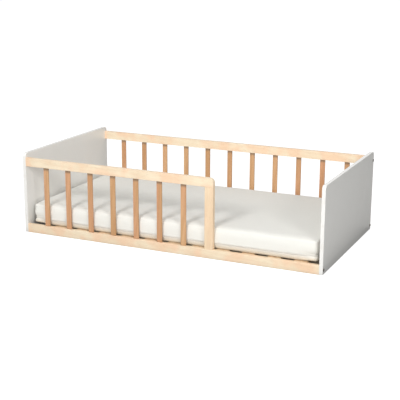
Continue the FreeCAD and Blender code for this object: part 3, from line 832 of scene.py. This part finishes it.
def makeTape(node, name, material, look):
    lo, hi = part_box(node)
    slats = [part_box(slat) for slat in numbered("base_slat", 11)]
    gaps = [(left[1].x, right[0].x) for left, right in zip(slats, slats[1:])]
    bm = bmesh.new()
    bmesh.ops.create_grid(bm, x_segments=len(gaps) * look["steps"], y_segments=look["across"],
                          size=0.5)
    bmesh.ops.scale(bm, vec=(hi.x - lo.x, hi.y - lo.y, 1), verts=bm.verts)
    middle = ((lo.x + hi.x) / 2, (lo.y + hi.y) / 2, lo.z)
    bmesh.ops.translate(bm, vec=middle, verts=bm.verts)
    for vert in bm.verts:
        for start, end in gaps:
            if start < vert.co.x < end:
                share = (vert.co.x - start) / (end - start)
                vert.co.z -= look["sag"] * (math.sin(math.pi * share) ** 2)
    bmesh.ops.recalc_face_normals(bm, faces=bm.faces)
    if bm.faces[:][0].normal.z < 0:
        bmesh.ops.reverse_faces(bm, faces=bm.faces)
    bmesh.ops.solidify(bm, geom=bm.faces[:], thickness=lo.z - hi.z)
    bmesh.ops.recalc_face_normals(bm, faces=bm.faces)
    piece = pieceFrom(bm, name, material)
    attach(piece, "slat_base")
    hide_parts(node)


webbing = makeCloth("webbingTape", clothLooks["webbingTape"])
makeTape("front_tape", "frontTape", webbing, tapeLook)
makeTape("back_tape", "backTape", webbing, tapeLook)
print("tapes ready")


# floor, light and camera

stageLook = {
    "floorHalf": 40.0,
    "floorDrop": 0.0006,
    "floorBounce": (0.46, 0.46, 0.45, 1),       # what the bed sees of the floor
    "contactShade": (0.06, 0.06, 0.06, 1),     # and close beside the bed, darkened as painted contact shade
    "contactReach": 0.11,
    "contactFront": 3.0,                        # how much sooner that fades at the front and back
    "floorSeen": (0.60, 0.60, 0.60, 1),         # what the camera sees of it
    "floorGlow": 0.75,
    "underShadeSeen": (0.54, 0.49, 0.43, 1),         # and under the bed, darkened there as painted shade
    "underGlow": 0.08,
    "underShadeTint": (1.0, 0.74, 0.46, 1),
    "underBand": (-0.016, -0.004),
    "sky": 0.47,
}

lampLooks = {
    "keyLight": {"power": 101.0, "size": 1.1, "place": Vector((-0.373, -4.223, 2.8))},
    "frontFill": {"power": 18.0, "size": 2.0, "place": Vector((1.3, -3.0, 1.3))},
    "sideFill": {"power": 38.0, "size": 0.9, "place": Vector((3.1, -2.8, 1.9))},
    "overhead": {"power": 4.0, "size": 2.4, "place": Vector((0.0, -0.2, 3.2))},
}
lampsAim = Vector((0, 0, 0.15))


def makeFloor(look):
    bm = bmesh.new()
    bmesh.ops.create_grid(bm, x_segments=2, y_segments=2, size=look["floorHalf"])
    bmesh.ops.translate(bm, vec=(0, 0, -look["floorDrop"]), verts=bm.verts)
    material = bpy.data.materials.new("paleFloor")
    material.use_nodes = True
    tree = material.node_tree
    tree.nodes.remove(tree.nodes["Principled BSDF"])
    parts = axesOf(tree, addNode(tree, "ShaderNodeTexCoord").outputs["Object"])
    pastX, pastY = [calc(tree, "SUBTRACT", calc(tree, "ABSOLUTE", parts[axis]), cadBox[1][axis])
                    for axis in (0, 1)]
    outside = calc(tree, "MAXIMUM", pastX, pastY)
    # painted shade: under the bed the floor's glow is cut and its colour turned brown and warm,
    # standing in for the bed's shadow
    clear = band(tree, outside, *look["underBand"], look["underGlow"], 1.0)
    seen = addNode(tree, "ShaderNodeBsdfDiffuse",
                   Color=blendColor(tree, clear, look["underShadeSeen"], look["floorSeen"]))
    glow = addNode(tree, "ShaderNodeEmission",
                   Color=blendColor(tree, clear, look["underShadeTint"], (1, 1, 1, 1)),
                   Strength=calc(tree, "MULTIPLY", clear, look["floorGlow"]))
    bright = tree.nodes.new("ShaderNodeAddShader")
    tree.links.new(seen.outputs[0], bright.inputs[0])
    tree.links.new(glow.outputs[0], bright.inputs[1])
    # painted contact shade: the floor that the bed sees is darkened close beside it
    beside = calc(tree, "MAXIMUM", pastX, calc(tree, "MULTIPLY", pastY, look["contactFront"]))
    shadeBand = band(tree, beside, 0.0, look["contactReach"])
    bounce = addNode(tree, "ShaderNodeBsdfDiffuse",
                     Color=blendColor(tree, shadeBand, look["contactShade"], look["floorBounce"]))
    pick = tree.nodes.new("ShaderNodeMixShader")
    path = tree.nodes.new("ShaderNodeLightPath")
    tree.links.new(path.outputs["Is Camera Ray"], pick.inputs[0])
    tree.links.new(bounce.outputs[0], pick.inputs[1])
    tree.links.new(bright.outputs[0], pick.inputs[2])
    tree.links.new(pick.outputs[0], tree.nodes["Material Output"].inputs["Surface"])
    floor = pieceFrom(bm, "floor", material)


def makeLight():
    world = bpy.data.worlds.new("paleStudio")
    world.use_nodes = True
    tree = world.node_tree
    backdrop = tree.nodes["Background"].inputs
    backdrop["Color"].default_value = (1, 1, 1, 1)
    # the backdrop looks white, and so do its reflections, but it lights the bed less
    path = tree.nodes.new("ShaderNodeLightPath").outputs
    seen = calc(tree, "MAXIMUM", path["Is Camera Ray"], path["Is Glossy Ray"])
    strength = calc(tree, "MULTIPLY_ADD", seen, 1 - stageLook["sky"], stageLook["sky"])
    tree.links.new(strength, backdrop["Strength"])
    bpy.context.scene.world = world
    for name, look in lampLooks.items():
        lamp = bpy.data.lights.new(name, "AREA")
        lamp.shape = "SQUARE"
        lamp.size = look["size"]
        lamp.energy = look["power"]
        light = bpy.data.objects.new(name, lamp)
        light.location = look["place"]
        way = light.location - lampsAim
        light.rotation_euler = way.to_track_quat("Z", "Y").to_euler()
        bpy.context.scene.collection.objects.link(light)


cameraLook = {      # angles in degrees, lens in millimetres
    "place": Vector((1.8403, -4.0259, 1.3242)),
    "turn": 24.533,
    "down": 14.878,
    "lean": 0.285,
    "lens": 87.19,
}


def makeCamera(look):
    data = bpy.data.cameras.new("camera")
    data.sensor_width = 36.0
    data.lens = look["lens"]
    data.clip_start, data.clip_end = 0.1, 200.0
    camera = bpy.data.objects.new("camera", data)
    turn = Matrix.Rotation(math.radians(look["turn"]), 4, "Z")
    tilt = Matrix.Rotation(math.radians(90 - look["down"]), 4, "X")
    lean = Matrix.Rotation(math.radians(look["lean"]), 4, "Z")
    camera.matrix_world = Matrix.Translation(look["place"]) @ turn @ tilt @ lean
    bpy.context.scene.collection.objects.link(camera)
    bpy.context.scene.camera = camera


makeFloor(stageLook)
makeLight()
makeCamera(cameraLook)
bpy.context.scene.view_settings.view_transform = "Standard"
print("floor, light and camera ready")
